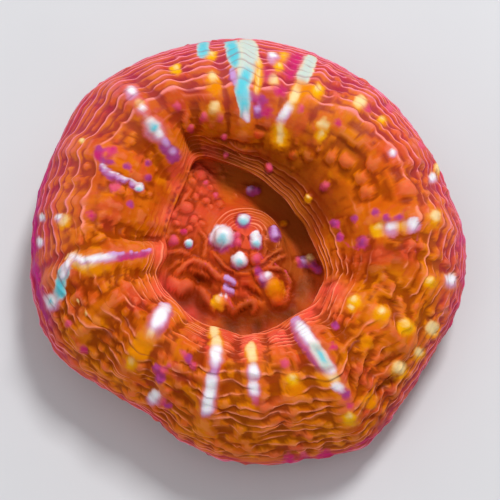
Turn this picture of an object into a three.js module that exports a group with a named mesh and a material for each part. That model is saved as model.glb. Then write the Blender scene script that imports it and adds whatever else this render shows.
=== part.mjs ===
// A scolymia coral: one round, fleshy polyp grown on its own short stony base.
// A thick ring of flesh, creased in ledges, surrounds a sunken disc with the mouth on a low mound.
// Millimetres, +Z up. The origin is on the flat cut below the mouth, and -Y is the side seen nearest.

import * as THREE from 'three';

// Radius of the coral's widest line and of the ring's inner lip, every 15 degrees from +X towards +Y.
const EDGE_RADIUS = [
  38.0, 37.1, 37.2, 38.0, 38.8, 39.9, 40.8, 41.0, 41.2, 41.4, 39.0, 37.9,
  37.2, 37.2, 36.8, 34.4, 33.1, 35.5, 37.3, 37.9, 39.4, 37.3, 36.7, 37.8,
];
const LIP_RADIUS = [
  10.9, 10.2, 9.7, 10.0, 10.3, 11.2, 12.4, 14.3, 16.8, 14.5, 13.5, 13.3,
  13.7, 14.6, 16.9, 17.5, 18.3, 18.5, 18.8, 18.3, 17.7, 16.7, 15.2, 12.6,
];

// Heights and shares every 30 degrees from +X towards +Y.
const EDGE_HEIGHT = [8.5, 9.0, 9.5, 10.0, 9.5, 9.0, 8.5, 8.0, 7.5, 7.0, 7.0, 8.0];
const CREST_HEIGHT = [22.0, 23.5, 25.0, 25.5, 24.5, 22.5, 22.0, 21.5, 21.8, 22.0, 22.0, 21.5];
const CREST_SHARE = [0.58, 0.58, 0.42, 0.3, 0.3, 0.48, 0.48, 0.42, 0.42, 0.36, 0.38, 0.46];
const LIP_HEIGHT = [16.5, 15.5, 16.0, 17.0, 17.5, 16.8, 16.8, 18.0, 19.0, 19.0, 19.0, 18.0];
const FLOOR_HEIGHT = [10.5, 10.0, 10.0, 11.0, 13.0, 14.8, 14.8, 13.0, 12.0, 11.0, 11.0, 11.0];
const OVERHANG = [2.2, 3.2, 3.2, 2.6, 0.8, 0.3, 0.3, 0.8, 1.2, 1.3, 1.3, 1.8];

// The mouth's mound, the rolled lip, and the turned-under rim.
const MOUTH_HEIGHT = 15.5;
const MOUND_RADIUS = 6.0;
const MOUND_DROP = 1.6;
const FLOOR_SHARE = 0.72;
const LIP_ROLL = 1.8;
const RIM_ROLL = 2.2;
const RIM_DROP = 3.6;
const UNDERSIDE_INSET = 9.0;
const UNDERSIDE_HEIGHT = 3.6;

// The stony base, cut off flat.
const BASE_SHARE = 0.62;
const BASE_FLARE = 0.8;
const BASE_BEVEL = 1.4;

// The profile's named points, counted outwards from the mouth and down under the rim.
const MOUND = 2;
const NOSE = 6;
const ROLL = 7;
const CREST = 9;
const EDGE = 12;
const BASE_RIM = 16;

// Radial ridges over the septa: azimuth in degrees, height and half width in mm,
// and the shares of the way from lip to edge where each begins and ends.
const RIDGES = [
  [2, 1.0, 4.4, 0.25, 0.85], [26, 0.6, 3.6, 0.4, 0.95], [49, 0.7, 3.4, 0.4, 0.9],
  [65, 0.5, 3.0, 0.3, 0.8], [79, 0.5, 2.8, 0.3, 0.8], [92, 1.0, 3.4, 0.1, 0.85],
  [105, 0.6, 2.8, 0.2, 0.8], [119, 0.6, 2.8, 0.4, 0.8], [131, 1.1, 3.8, 0.05, 0.85],
  [153, 0.8, 3.8, 0.25, 0.9], [172, 0.4, 3.2, 0.1, 0.9], [196, 1.4, 3.8, -0.1, 0.9],
  [214, 0.5, 3.4, 0.0, 0.9], [232, 0.9, 3.8, -0.05, 0.9], [245, 0.4, 2.8, 0.0, 0.9],
  [259, 0.8, 3.4, -0.05, 0.95], [273, 0.6, 3.0, 0.0, 0.85], [285, 0.4, 2.8, 0.0, 0.85],
  [297, 1.0, 4.0, -0.05, 0.95], [322, 1.0, 4.4, 0.1, 0.9], [342, 0.7, 4.0, 0.3, 0.9],
];

// Radial creases, in the same form. Their heights are depths.
const CREASES = [
  [118, 0.8, 2.6, 0.0, 0.4], [183, 0.9, 2.4, 0.0, 0.55], [220, 0.5, 2.6, 0.4, 0.9],
  [309, 0.9, 3.0, 0.3, 0.95], [15, 0.5, 3.0, 0.5, 0.9],
];

// Rounded lumps: plan position, radius at the foot and height, all in mm.
const BOWL_LUMPS = [
  [-4.2, 0.4, 2.6, 1.5], [-0.5, 3.3, 2.1, 1.2], [1.8, 0.0, 1.9, 1.0], [-1.2, -3.8, 2.2, 1.2],
  [5.1, 2.6, 1.8, 1.0], [1.9, -3.2, 1.8, 0.8], [3.3, -6.3, 1.9, 1.1], [5.3, -7.6, 3.0, 1.9],
  [-4.5, -9.9, 2.7, 1.8], [-2.7, -7.6, 2.0, 1.1], [-10.2, -0.4, 1.9, 1.0], [-10.3, 6.1, 2.3, 1.0],
  [-8.1, 12.4, 2.3, 1.2], [-8.1, -4.7, 2.5, 1.0], [-11.4, -7.7, 2.8, 1.3], [0.2, -10.8, 2.6, 1.2],
];
const RING_LUMPS = [
  [5.8, 15.7, 2.4, 1.1], [8.0, 13.3, 1.8, 0.9], [10.7, 12.9, 1.9, 1.1], [14.3, 12.4, 2.0, 1.1],
  [17.2, 11.4, 2.2, 1.3], [21.5, 10.3, 2.3, 1.3], [19.3, 8.0, 2.2, 1.2], [20.5, 5.5, 2.2, 1.2],
  [26.8, 5.3, 3.2, 1.1], [13.6, 8.0, 1.9, 0.9], [13.2, 16.9, 2.0, 0.9], [12.4, 25.0, 2.1, 0.9],
  [24.8, 12.3, 2.1, 1.0], [19.8, 22.5, 2.1, 0.8], [23.3, -1.4, 2.3, 1.1], [27.8, -0.7, 2.3, 1.0],
  [19.5, -3.1, 2.3, 0.9], [17.7, -14.1, 2.4, 1.2], [22.1, -16.4, 2.7, 1.3], [26.0, -18.1, 2.5, 1.1],
  [30.4, -10.3, 2.3, 0.9], [25.2, -24.1, 2.5, 1.0], [21.3, -8.7, 2.5, 1.1], [-7.3, 18.5, 2.1, 1.2],
  [-5.2, 19.6, 2.1, 1.2], [-9.2, 17.2, 1.9, 1.0], [-12.5, 13.1, 2.3, 1.2], [-15.5, 17.3, 2.4, 1.1],
  [-22.8, 11.7, 2.4, 1.1], [-21.0, 7.7, 2.1, 1.0], [-17.9, 6.2, 2.0, 1.0], [-16.8, 10.9, 1.8, 0.8],
  [-18.6, -23.0, 2.5, 1.1], [-13.7, -25.5, 2.6, 1.1], [16.8, -32.0, 2.4, 1.1],
];

// Ledges: how many there are inside and outside the crest, how far each stands out,
// how much closer they lie at the far end, and how many profile steps 1 mm of relief moves one.
const INNER_LEDGES = 4;
const OUTER_LEDGES = 9;
const LEDGE_HEIGHT = 0.38;
const LEDGE_CROWDING = 1.3;
const LEDGE_SHIFT = 0.12;

// Points round a ring of the disc and round a ring of the flesh outside it.
const DISC_SEGMENTS = 60;
const FLESH_SEGMENTS = 2 * DISC_SEGMENTS;

const radians = THREE.MathUtils.degToRad;
const smoothstep = THREE.MathUtils.smoothstep;

// Value at an azimuth in radians of a list given at even steps round the coral.
function around(list, azimuth) {
  const place = THREE.MathUtils.euclideanModulo(azimuth / (2 * Math.PI), 1) * list.length;
  const first = Math.floor(place);
  const at = (step) => list[(first + step + list.length) % list.length];
  const t = place - first;
  const slopeIn = (at(1) - at(-1)) / 2;
  const slopeOut = (at(2) - at(0)) / 2;
  const rise = at(1) - at(0);
  return at(0) + t * (slopeIn + t * (3 * rise - 2 * slopeIn - slopeOut + t * (slopeIn + slopeOut - 2 * rise)));
}

// The half section at an azimuth, as a curve of radius (x) against height (y).
function profile(azimuth) {
  const edge = around(EDGE_RADIUS, azimuth);
  const lip = around(LIP_RADIUS, azimuth);
  const overhang = around(OVERHANG, azimuth);
  const edgeHeight = around(EDGE_HEIGHT, azimuth);
  const crestHeight = around(CREST_HEIGHT, azimuth);
  const lipHeight = around(LIP_HEIGHT, azimuth);
  const floorHeight = around(FLOOR_HEIGHT, azimuth);
  const crest = lip + (edge - lip) * around(CREST_SHARE, azimuth);
  const wallward = (share) => floorHeight + (lipHeight - floorHeight) * share;
  const outward = (share) => crest + (edge - crest) * share;
  const upward = (share) => edgeHeight + (crestHeight - edgeHeight) * share;
  const base = edge * BASE_SHARE;
  const points = [
    [0, MOUTH_HEIGHT],
    [MOUND_RADIUS * 0.5, MOUTH_HEIGHT - MOUND_DROP * 0.2],
    [MOUND_RADIUS, MOUTH_HEIGHT - MOUND_DROP],
    [lip * FLOOR_SHARE, floorHeight],
    [lip + overhang, wallward(0.12)],
    [lip + overhang * 0.35, wallward(0.5)],
    [lip, wallward(0.82)],
    [lip + LIP_ROLL, lipHeight],
    [lip + (crest - lip) * 0.55, lipHeight + (crestHeight - lipHeight) * 0.6],
    [crest, crestHeight],
    [outward(0.5), upward(0.83)],
    [outward(0.86), upward(0.45)],
    [edge, edgeHeight],
    [edge - RIM_ROLL, edgeHeight - RIM_DROP],
    [edge - UNDERSIDE_INSET, UNDERSIDE_HEIGHT],
    [base + BASE_FLARE, BASE_BEVEL],
    [base, 0],
  ];
  return new THREE.CatmullRomCurve3(
    points.map(([radius, height]) => new THREE.Vector3(radius, height, 0)),
    false,
    'centripetal',
  );
}

// The smooth surface's point at an azimuth, a number of profile steps from the mouth.
function smoothPoint(azimuth, step) {
  const { x: radius, y: height } = profile(azimuth).getPoint(step / BASE_RIM);
  return new THREE.Vector3(radius * Math.cos(azimuth), radius * Math.sin(azimuth), height);
}

function smoothNormal(azimuth, step) {
  const here = smoothPoint(azimuth, step);
  const along = smoothPoint(azimuth, Math.min(step + 0.02, BASE_RIM)).sub(here);
  const aside = smoothPoint(azimuth + 0.01, step).sub(here);
  return along.cross(aside).normalize();
}

// A smooth dome of height 1 that reaches 0 at distance 1.
function dome(distance) {
  const inside = Math.max(0, 1 - distance * distance);
  return inside * inside;
}

function ridgeHeight(ridges, azimuth, step, radius) {
  const share = (step - NOSE) / (EDGE - NOSE);
  let height = 0;
  for (const [degrees, rise, halfWidth, begin, end] of ridges) {
    const turn = Math.abs(Math.sin((azimuth - radians(degrees)) / 2)) * 2;
    const along = smoothstep(share, begin, begin + 0.15) * (1 - smoothstep(share, end - 0.2, end));
    height = Math.max(height, rise * along * dome((turn * radius) / halfWidth));
  }
  return height;
}

function lumpHeight(lumps, point) {
  let height = 0;
  for (const [x, y, reach, rise] of lumps) {
    height = Math.max(height, rise * dome(Math.hypot(point.x - x, point.y - y) / reach));
  }
  return height;
}

// Everything that stands out of the smooth surface, apart from the ledges.
function relief(azimuth, step) {
  const point = smoothPoint(azimuth, step);
  if (step <= NOSE - 1) {
    return lumpHeight(BOWL_LUMPS, point);
  }
  if (step > EDGE + 1) {
    return 0;
  }
  const radius = Math.hypot(point.x, point.y);
  const ridge = ridgeHeight(RIDGES, azimuth, step, radius);
  const crease = ridgeHeight(CREASES, azimuth, step, radius);
  const lump = step >= ROLL ? lumpHeight(RING_LUMPS, point) : 0;
  return Math.max(ridge, lump) + 0.3 * Math.min(ridge, lump) - crease;
}

// A ring of points round the coral. A ledge's ring bends outwards (or inwards) where it meets a rise.
function ring(step, segments, ledge = 0) {
  const downhill = step < CREST ? -1 : 1;
  const points = [];
  for (let i = 0; i < segments; i += 1) {
    const azimuth = (i / segments) * 2 * Math.PI;
    const shift = ledge === 0 ? 0 : downhill * LEDGE_SHIFT * relief(azimuth, step);
    const shifted = step + shift;
    const unevenness = 0.75 + 0.25 * Math.sin(3 * azimuth + 2.1 * step);
    const lift = relief(azimuth, shifted) + ledge * LEDGE_HEIGHT * unevenness;
    points.push(smoothPoint(azimuth, shifted).addScaledVector(smoothNormal(azimuth, shifted), lift));
  }
  return points;
}

// Rings over a stretch of the profile, with a hollow and a crest for each ledge.
function ledges(from, to, count, crowding) {
  const place = (share) => from + (to - from) * (1 - (1 - share) ** crowding);
  const rings = [];
  for (let i = 0; i < count; i += 1) {
    rings.push(ring(place(i / count), FLESH_SEGMENTS, -0.5));
    rings.push(ring(place((i + 0.55) / count), FLESH_SEGMENTS, 1));
  }
  return rings;
}

// Triangles between two rings, given as lists of point numbers. The outer ring has as many points
// as the inner one, or twice as many.
function band(inner, outer) {
  const ratio = outer.length / inner.length;
  const triangles = [];
  inner.forEach((here, i) => {
    const next = inner[(i + 1) % inner.length];
    const first = outer[i * ratio];
    const last = outer[((i + 1) * ratio) % outer.length];
    if (ratio === 1) {
      triangles.push(here, first, last, here, last, next);
    } else {
      const middle = outer[i * ratio + 1];
      triangles.push(here, first, middle, here, middle, next, next, middle, last);
    }
  });
  return triangles;
}

// One closed body from rings that run from the top pole to the bottom pole.
function closedBody(top, rings, bottom) {
  const positions = [top, ...rings.flat(), bottom].flatMap((point) => point.toArray());
  let count = 1;
  const numbered = rings.map((points) => points.map(() => count++));
  const triangles = [];
  for (let row = 0; row < numbered.length - 1; row += 1) {
    triangles.push(...band(numbered[row], numbered[row + 1]));
  }
  const fan = (pole, loop) => loop.flatMap((here, i) => [pole, here, loop[(i + 1) % loop.length]]);
  triangles.push(...fan(0, numbered[0]));
  triangles.push(...fan(count, numbered[numbered.length - 1].reverse()));
  const geometry = new THREE.BufferGeometry();
  geometry.setAttribute('position', new THREE.Float32BufferAttribute(positions, 3));
  geometry.setIndex(triangles);
  geometry.computeVertexNormals();
  return geometry;
}

function coralGeometry() {
  const mouth = new THREE.Vector3(0, 0, MOUTH_HEIGHT);
  const disc = [0.4, 0.8, 1.2, 1.6, 2, 2.4, 2.8, 3.3, 3.8, 4.3].map((step) => ring(step, DISC_SEGMENTS));
  const lip = [5, 5.6, NOSE].map((step) => ring(step, FLESH_SEGMENTS));
  const rim = [EDGE, EDGE + 0.5, EDGE + 1, EDGE + 2, BASE_RIM - 1, BASE_RIM];
  const rings = [
    ...disc,
    ...lip,
    ...ledges(NOSE + 0.4, CREST - 0.1, INNER_LEDGES, 1),
    ...ledges(CREST + 0.1, EDGE - 0.1, OUTER_LEDGES, LEDGE_CROWDING),
    ...rim.map((step) => ring(step, FLESH_SEGMENTS)),
  ];
  return closedBody(mouth, rings, new THREE.Vector3(0, 0, 0));
}

function fleshMaterial() {
  return new THREE.MeshStandardMaterial({
    name: 'coral_flesh',
    color: new THREE.Color(0.82, 0.27, 0.03),
    roughness: 0.45,
    metalness: 0,
  });
}

const coral = new THREE.Mesh(coralGeometry(), fleshMaterial());
coral.name = 'coral';

const scolymia = new THREE.Group();
scolymia.name = 'scolymia_coral';
scolymia.add(coral);

export default scolymia;
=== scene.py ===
"""A scolymia coral in its looks: one polyp with ledged, beaded flesh and painted marks, on a pale floor."""

import itertools
import math

import bpy
import numpy as np
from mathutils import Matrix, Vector


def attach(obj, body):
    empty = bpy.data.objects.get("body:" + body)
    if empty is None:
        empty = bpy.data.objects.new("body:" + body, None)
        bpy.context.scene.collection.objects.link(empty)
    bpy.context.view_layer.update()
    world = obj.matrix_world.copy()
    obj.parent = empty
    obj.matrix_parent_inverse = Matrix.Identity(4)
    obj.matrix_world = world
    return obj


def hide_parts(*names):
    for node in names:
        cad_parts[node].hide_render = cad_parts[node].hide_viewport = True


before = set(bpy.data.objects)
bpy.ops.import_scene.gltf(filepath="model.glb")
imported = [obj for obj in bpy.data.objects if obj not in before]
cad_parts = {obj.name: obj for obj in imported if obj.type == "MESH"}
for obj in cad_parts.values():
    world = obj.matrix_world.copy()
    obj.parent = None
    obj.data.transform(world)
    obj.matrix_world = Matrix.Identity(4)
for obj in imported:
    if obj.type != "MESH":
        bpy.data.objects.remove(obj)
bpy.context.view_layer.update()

# The script works in millimetres and hands metres to Blender.
MM = 0.001
SEED = 7

# The photograph's camera: it looks down from the near side. Its frame is 500 pixels square.
CAMERA_ELEVATION = math.radians(66)
CAMERA_DISTANCE = 260.0
CAMERA_TARGET = np.array([0.7, -1.0, 12.0])
FRAME_PIXELS = 500
PIXEL_SIZE = 0.1724
SENSOR_WIDTH = 36.0

# Radius of the coral's widest line and of the ring's inner lip, every 15 degrees from +X towards +Y.
EDGE_RADIUS = [
    38.0, 37.1, 37.2, 38.0, 38.8, 39.9, 40.8, 41.0, 41.2, 41.4, 39.0, 37.9,
    37.2, 37.2, 36.8, 34.4, 33.1, 35.5, 37.3, 37.9, 39.4, 37.3, 36.7, 37.8,
]
LIP_RADIUS = [
    10.9, 10.2, 9.7, 10.0, 10.3, 11.2, 12.4, 14.3, 16.8, 14.5, 13.5, 13.3,
    13.7, 14.6, 16.9, 17.5, 18.3, 18.5, 18.8, 18.3, 17.7, 16.7, 15.2, 12.6,
]

# Heights and shares every 30 degrees from +X towards +Y.
EDGE_HEIGHT = [8.5, 9.0, 9.5, 10.0, 9.5, 9.0, 8.5, 8.0, 7.5, 7.0, 7.0, 8.0]
CREST_HEIGHT = [22.0, 23.5, 25.0, 25.5, 24.5, 22.5, 22.0, 21.5, 21.8, 22.0, 22.0, 21.5]
CREST_SHARE = [0.58, 0.58, 0.42, 0.3, 0.3, 0.48, 0.48, 0.42, 0.42, 0.36, 0.38, 0.46]
LIP_HEIGHT = [16.5, 15.5, 16.0, 17.0, 17.5, 16.8, 16.8, 18.0, 19.0, 19.0, 19.0, 18.0]
FLOOR_HEIGHT = [10.5, 10.0, 10.0, 11.0, 13.0, 14.8, 14.8, 13.0, 12.0, 11.0, 11.0, 11.0]
OVERHANG = [2.2, 3.2, 3.2, 2.6, 0.8, 0.3, 0.3, 0.8, 1.2, 1.3, 1.3, 1.8]

# The mouth's mound, the rolled lip, the turned-under rim and the stony base.
MOUTH_HEIGHT = 15.5
MOUND_RADIUS = 6.0
MOUND_DROP = 1.6
FLOOR_SHARE = 0.72
LIP_ROLL = 1.8
RIM_ROLL = 2.2
RIM_DROP = 3.6
UNDERSIDE_INSET = 9.0
UNDERSIDE_HEIGHT = 3.6
BASE_SHARE = 0.62
BASE_FLARE = 0.8
BASE_BEVEL = 1.4

# The profile's named points, counted outwards from the mouth and down under the rim.
NOSE = 6
CREST = 9
EDGE = 12
BASE_RIM = 16

# Where the mesh's stretches meet between those points: the mouth's middle, the mound's foot,
# the foot of the bowl's wall, and the end of the flesh under the rim.
MOUTH_STEP = 0.12
MOUND_STEP = 2.1
WALL_STEP = 4.4
BARE_STEP = 13.4

# Radial ridges over the septa: azimuth in degrees, height and half width in mm,
# and the shares of the way from lip to edge where each begins and ends.
RIDGES = [
    (2, 1.0, 4.4, 0.25, 0.85), (26, 0.6, 3.6, 0.4, 0.95), (49, 0.7, 3.4, 0.4, 0.9),
    (65, 0.5, 3.0, 0.3, 0.8), (79, 0.5, 2.8, 0.3, 0.8), (92, 1.0, 3.4, 0.1, 0.85),
    (105, 0.6, 2.8, 0.2, 0.8), (119, 0.6, 2.8, 0.4, 0.8), (131, 1.1, 3.8, 0.05, 0.85),
    (153, 0.8, 3.8, 0.25, 0.9), (172, 0.4, 3.2, 0.1, 0.9), (196, 1.4, 3.8, -0.1, 0.9),
    (214, 0.5, 3.4, 0.0, 0.9), (232, 0.9, 3.8, -0.05, 0.9), (245, 0.4, 2.8, 0.0, 0.9),
    (259, 0.8, 3.4, -0.05, 0.95), (273, 0.6, 3.0, 0.0, 0.85), (285, 0.4, 2.8, 0.0, 0.85),
    (297, 1.0, 4.0, -0.05, 0.95), (322, 1.0, 4.4, 0.1, 0.9), (342, 0.7, 4.0, 0.3, 0.9),
]

# Radial creases, in the same form. Their heights are depths.
CREASES = [
    (118, 0.8, 2.6, 0.0, 0.4), (183, 0.9, 2.4, 0.0, 0.55), (220, 0.5, 2.6, 0.4, 0.9),
    (309, 0.9, 3.0, 0.3, 0.95), (15, 0.5, 3.0, 0.5, 0.9),
]

# Height in mm of the pebbled skin, every 30 degrees.
PEBBLES = [0.24, 0.2, 0.16, 0.12, 0.1, 0.12, 0.16, 0.28, 0.34, 0.34, 0.34, 0.28]

# Fine radial ribs that kink every ledge they cross: how many, their height and half width in mm,
# and how much more than other relief they kink it.
RIB_COUNT = 46
RIB_HEIGHT = 0.1
RIB_KINK = 5.0
RIB_HALF_WIDTH = 1.3

# How strongly the ledges show, every 30 degrees: close to the lip, on the slope inside the crest,
# outside the crest, every second one there, and how broken into lumps they are.
LIP_LEDGES = [0.9, 0.9, 0.9, 0.8, 0.4, 0.1, 0.3, 0.9, 0.9, 0.9, 0.9, 0.9]
INNER_LEDGES = [0.3, 0.1, 0.1, 0.2, 0.3, 0.15, 0.2, 0.6, 0.7, 0.8, 0.7, 0.4]
OUTER_LEDGES = [0.85, 0.9, 0.95, 1.0, 1.0, 1.0, 1.0, 0.8, 0.7, 0.7, 0.7, 0.8]
SECOND_LEDGES = [0.8, 0.9, 1.0, 1.0, 0.6, 0.1, 0.2, 0.9, 1.0, 1.0, 1.0, 0.9]
BROKEN_LEDGES = [0.7, 0.5, 0.4, 0.3, 0.25, 0.25, 0.5, 1.3, 1.2, 1.0, 1.1, 1.2]

# How far apart the first ledges outside the lip are, in mm, every 30 degrees.
LIP_SPACING = [0.7, 0.65, 0.6, 0.6, 0.6, 0.6, 0.65, 0.65, 0.75, 1.0, 1.0, 0.8]

# How far the ribs kink the ledges, every 30 degrees.
KINKS = [1.0, 1.0, 1.0, 0.9, 0.8, 1.0, 0.9, 0.6, 0.4, 0.35, 0.4, 0.8]

# How far inwards from the edge the pink tint reaches, in profile steps, every 30 degrees.
RIM_REACH = [2.0, 2.6, 2.8, 2.8, 2.6, 2.5, 2.2, 0.8, 0.4, 0.35, 0.4, 1.0]

# A ledge's rows, from one hollow to the next: share of its width, height, crest line and hollow line.
# The crest line is where a painted highlight goes, and the hollow line where painted shade goes.
DOWNHILL_LEDGE = [
    (0.0, 0.0, 0.0, 1.0), (0.28, 0.22, 0.0, 0.0), (0.6, 0.62, 0.0, 0.0), (0.82, 1.0, 1.0, 0.0),
    (0.92, 0.6, 0.5, 0.2),
]
UPHILL_LEDGE = [
    (0.0, 0.0, 0.0, 0.5), (0.12, 0.6, 0.4, 0.1), (0.26, 1.0, 1.0, 0.0), (0.5, 0.5, 0.0, 0.0),
    (0.76, 0.15, 0.0, 0.0),
]
LOW_WAVE = [(0.0, 0.0, 0.0, 0.5), (0.3, 0.6, 0.0, 0.0), (0.6, 1.0, 1.0, 0.0)]
PLAIN = [(0.0, 0.0, 0.0, 0.0)]

# Points round each row of the mesh: on the flesh, and on the disc and the underside.
FLESH_COLUMNS = 512
DISC_COLUMNS = 256

# The least distance between two rows in mm, how far apart in mm two ledges' noise is taken,
# and the profile steps over which a stretch's ledges begin and cease to wander.
LEAST_GAP = 0.04
LANE_GAP = 9.0
FADE_STEPS = 0.35

# Height in mm of the skin's fine roughness, and of the ribs round the bare base, and their number.
ROUGHNESS = 0.05
COSTA_HEIGHT = 0.12
COSTAE = 52

# How far the outlines of beads, grooves and marks wander in mm, and over how many mm.
RELIEF_WOBBLE = (0.3, 1.6)
WASH_WOBBLE = (1.0, 4.0)
MARK_WOBBLE = (0.25, 1.0)

# Pigments, as sRGB colours.
PIGMENTS = {
    "white": (0.97, 0.97, 0.98),
    "cyan": (0.36, 0.78, 0.84),
    "mint": (0.77, 0.82, 0.79),
    "cream": (0.98, 0.86, 0.62),
    "yellow": (0.98, 0.74, 0.03),
    "gold": (0.90, 0.52, 0.01),
    "lavender": (0.80, 0.62, 0.84),
    "purple": (0.64, 0.26, 0.52),
    "fuchsia": (0.76, 0.10, 0.50),
    "wine": (0.46, 0.08, 0.12),
    "magenta": (0.80, 0.16, 0.42),
    "pink": (0.90, 0.36, 0.44),
    "rose": (0.94, 0.32, 0.27),
    "scarlet": (0.84, 0.22, 0.10),
    "orange": (0.90, 0.38, 0.04),
    "rust": (0.64, 0.22, 0.04),
    # Brown, umber and olive are painted shade in the bowl's cavity and under the lip; olive is partly the
    # flesh's own dull colour too.
    "brown_shade": (0.46, 0.165, 0.02),
    "umber_shade": (0.40, 0.17, 0.01),
    "olive_and_shade": (0.64, 0.32, 0.10),
}

# How a mark of one pigment is laid: each layer's pigment, its share of the mark's radius,
# how far down the picture it is shifted, as a share of that radius, and its amount.
# Darker fringes shifted down and paler cores shifted up paint shade under a bead and a highlight on its top,
# over its own colours; the cream core of a yellow bead is such a painted highlight.
LAYERS = {
    "pearl": [
        ("magenta", 1.15, 0.15, 0.4), ("purple", 0.95, 0.3, 0.7), ("white", 0.9, -0.15, 1.0),
        ("cyan", 0.6, 0.2, 0.75),
    ],
    "white": [
        ("magenta", 1.4, 0.2, 0.35), ("gold", 1.3, 0.1, 0.5), ("lavender", 1.0, 0.25, 0.6),
        ("white", 0.8, -0.1, 0.9),
    ],
    "cream": [("gold", 1.35, 0.2, 0.6), ("yellow", 0.9, 0.2, 0.3), ("cream", 0.75, -0.1, 0.9)],
    "yellow": [("gold", 1.3, 0.2, 0.6), ("yellow", 0.8, 0.0, 0.75), ("cream", 0.4, -0.3, 0.75)],
    "cyan": [("mint", 1.25, 0.0, 0.5), ("cyan", 0.95, 0.0, 0.95)],
    "mint": [("cream", 1.25, 0.0, 0.3), ("mint", 1.05, 0.0, 0.9)],
    "lavender": [("purple", 1.2, 0.3, 0.7), ("lavender", 0.75, -0.25, 0.95)],
    "pink": [("magenta", 1.1, 0.3, 0.35), ("pink", 0.75, -0.2, 0.6)],
    "purple": [("magenta", 1.3, 0.2, 0.35), ("purple", 0.9, 0.0, 0.75)],
    "magenta": [("magenta", 1.2, 0.1, 0.6)],
    "rose": [("rose", 1.1, -0.1, 0.35)],
    "scarlet": [("scarlet", 1.1, 0.0, 0.4)],
    "gold": [("gold", 1.2, 0.0, 0.75)],
    "fuchsia": [("fuchsia", 1.2, 0.0, 0.3)],
    "wine": [("wine", 1.2, 0.0, 0.5)],
}

# Pigments whose edges stay crisp, and the share of a stroke's radius where a crisp and a soft one
# begin to fade.
CRISP_PIGMENTS = ("white", "cyan", "cream", "mint", "lavender")
CRISP_BEGIN = 0.35
SOFT_BEGIN = 0.1

# The share of its amount that each of a streak's overlapping strokes has, crisp and soft.
CRISP_STREAK_SHARE = 0.7
SOFT_STREAK_SHARE = 0.4

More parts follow.
